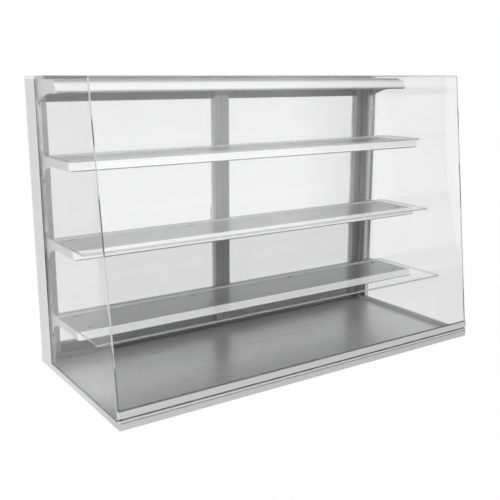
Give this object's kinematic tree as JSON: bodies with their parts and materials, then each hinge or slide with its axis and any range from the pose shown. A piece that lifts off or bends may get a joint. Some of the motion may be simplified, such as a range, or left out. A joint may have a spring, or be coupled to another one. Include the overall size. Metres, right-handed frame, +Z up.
{
  "type": "countertop glass display case",
  "caption": "Countertop display case with a leaning tilt-forward front glass, glass shelves on hook-in arms between slotted columns, and hinged glass doors at the back.",
  "frame": {"origin": "middle of the whole case, handles included, on the surface it stands on", "axes": "+X to the right of someone facing the front glass, +Y towards the doors at the back, +Z up"},
  "size_m": [1.2, 0.555, 0.814],
  "materials": {
    "base_steel": "brushed satin",
    "deck_steel": "brushed along its length",
    "pad_rubber": "matt",
    "column_metal": "satin anodised",
    "cap_metal": "satin",
    "frame_metal": "satin anodised",
    "door_metal": "satin anodised",
    "seal_rubber": "matt",
    "clear_seal": "clear soft plastic",
    "screw_steel": "turned, zinc plated",
    "bush_nylon": "moulded",
    "catch_plastic": "moulded",
    "handle_steel": "satin",
    "door_pane": "clear",
    "case_glass": "clear, polished edges",
    "shelf_pane": "clear, polished edges",
    "rail_metal": "satin anodised",
    "arm_metal": "satin",
    "tray_steel": "brushed along its length",
    "price_rail_metal": "light satin anodised",
    "card": "plain white card"
  },
  "bodies": {
    "cabinet": {"base_front_rail": "rail_metal", "base_pads": "pad_rubber", "base_pan": "base_steel", "base_rail_end_caps": "cap_metal", "base_rail_seal": "seal_rubber", "bottom_shelf_arms": "arm_metal", "bottom_shelf_glass": "shelf_pane", "bottom_shelf_price_rail": "price_rail_metal", "bottom_shelf_tray": "tray_steel", "canopy_arms": "arm_metal", "canopy_price_rail": "price_rail_metal", "canopy_tray": "tray_steel", "column_caps": "cap_metal", "column_feet": "base_steel", "deck_plate": "deck_steel", "door_header": "frame_metal", "door_sill": "frame_metal", "end_glass_seals": "clear_seal", "frame_screws": "screw_steel", "hinge_rod": "screw_steel", "jamb_seals": "seal_rubber", "left_column": "column_metal", "left_end_glass": "case_glass", "magnetic_catch": "catch_plastic", "middle_shelf_arms": "arm_metal", "middle_shelf_glass": "shelf_pane", "middle_shelf_price_rail": "price_rail_metal", "middle_shelf_tray": "tray_steel", "pivot_bushes": "bush_nylon", "price_cards": "card", "right_column": "column_metal", "right_end_glass": "case_glass", "shelf_bumpers": "clear_seal", "top_glass": "case_glass", "top_glass_seal": "clear_seal", "top_rail": "frame_metal", "top_shelf_arms": "arm_metal", "top_shelf_glass": "shelf_pane", "top_shelf_price_rail": "price_rail_metal", "top_shelf_tray": "tray_steel"},
    "front_window": {"front_glass": "case_glass", "glass_clamp_gasket": "seal_rubber", "glass_clamp_rail": "rail_metal", "rail_end_caps": "cap_metal"},
    "left_door": {"left_door_gasket": "seal_rubber", "left_door_glass": "door_pane", "left_door_handle": "handle_steel", "left_door_pivots": "screw_steel", "left_door_rails": "door_metal", "left_door_stiles": "door_metal", "left_door_strike": "screw_steel"},
    "right_door": {"right_door_gasket": "seal_rubber", "right_door_glass": "door_pane", "right_door_handle": "handle_steel", "right_door_pivots": "screw_steel", "right_door_rails": "door_metal", "right_door_stiles": "door_metal", "right_door_strike": "screw_steel"}
  },
  "joints": [
    {"name": "front_glass_tilt", "type": "hinge", "parent": "cabinet", "child": "front_window", "pos_m": [0, -0.2755, 0.029], "axis": [1, 0, 0], "range_deg": [0, 80]},
    {"name": "left_door_swing", "type": "hinge", "parent": "cabinet", "child": "left_door", "pos_m": [-0.5675, 0.2435, 0.4], "axis": [0, 0, 1], "range_deg": [0, 105]},
    {"name": "right_door_swing", "type": "hinge", "parent": "cabinet", "child": "right_door", "pos_m": [0.5675, 0.2435, 0.4], "axis": [0, 0, -1], "range_deg": [0, 105]}
  ]
}
